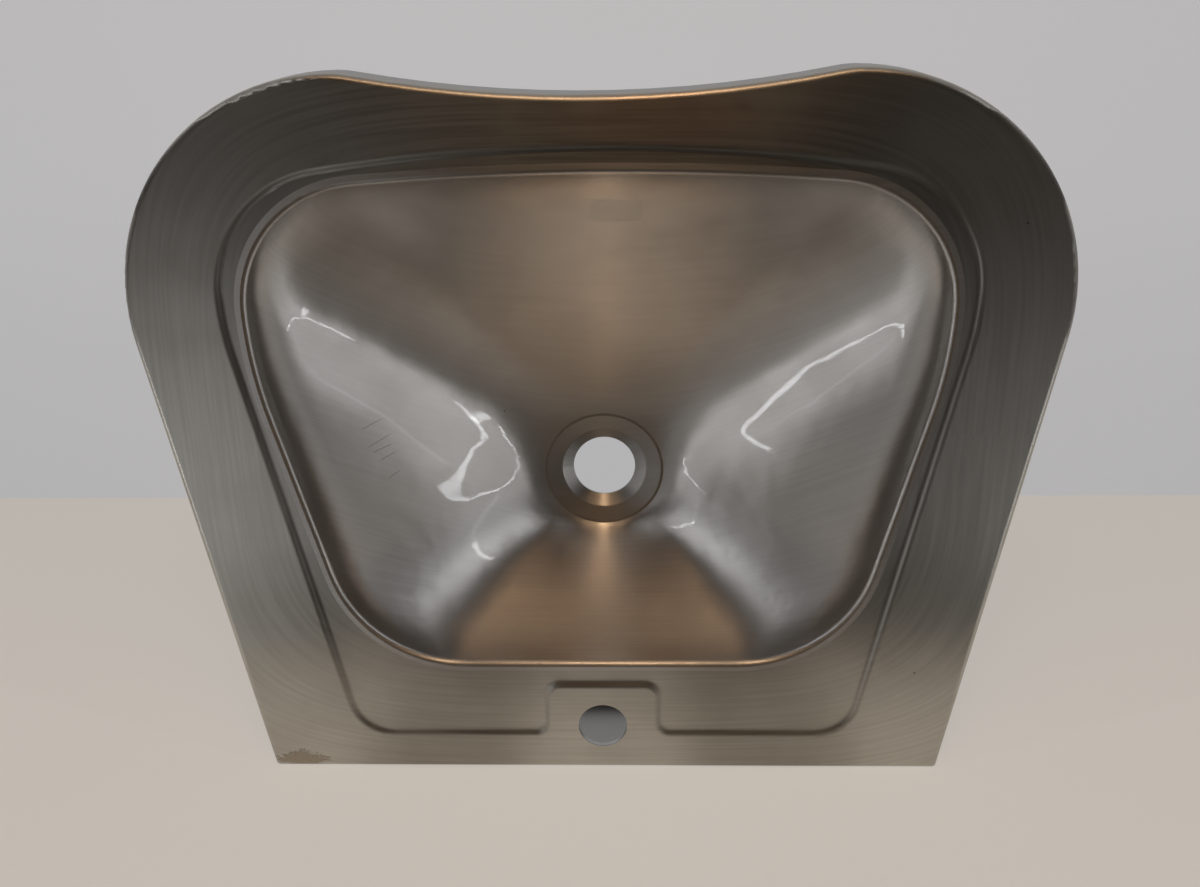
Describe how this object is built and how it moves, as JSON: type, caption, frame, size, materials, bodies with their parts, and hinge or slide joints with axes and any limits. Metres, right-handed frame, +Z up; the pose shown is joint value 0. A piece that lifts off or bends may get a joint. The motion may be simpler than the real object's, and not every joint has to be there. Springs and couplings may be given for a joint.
{
  "type": "wall-hung hand wash sink",
  "caption": "Wall-hung pressed steel wash sink with round front lobes, a deep tapered bowl, a raised tap landing with one tap hole and a sunk waste seat.",
  "frame": {"origin": "on the wall plane, midway between the two wall fixing holes", "axes": "-Y out from the wall towards the user, +Z up, +X to the right of a person who faces the wall"},
  "size_m": [0.6, 0.49, 0.1367],
  "materials": {
    "brushed_sheet": "stainless sheet with a fine brushed grain along the rim",
    "plain_plate": "stainless plate, mill finish",
    "damping_pad": "matt black bitumen rubber",
    "earth_brass": "plain brass"
  },
  "bodies": {
    "root": {"deck_panel": "brushed_sheet", "bowl": "brushed_sheet", "tap_plate": "plain_plate", "left_wall_bracket": "plain_plate", "right_wall_bracket": "plain_plate", "left_sound_pad": "damping_pad", "right_sound_pad": "damping_pad", "earth_tag": "plain_plate", "earth_screw": "earth_brass", "earth_nut": "earth_brass", "earth_washers": "earth_brass"}
  },
  "joints": []
}
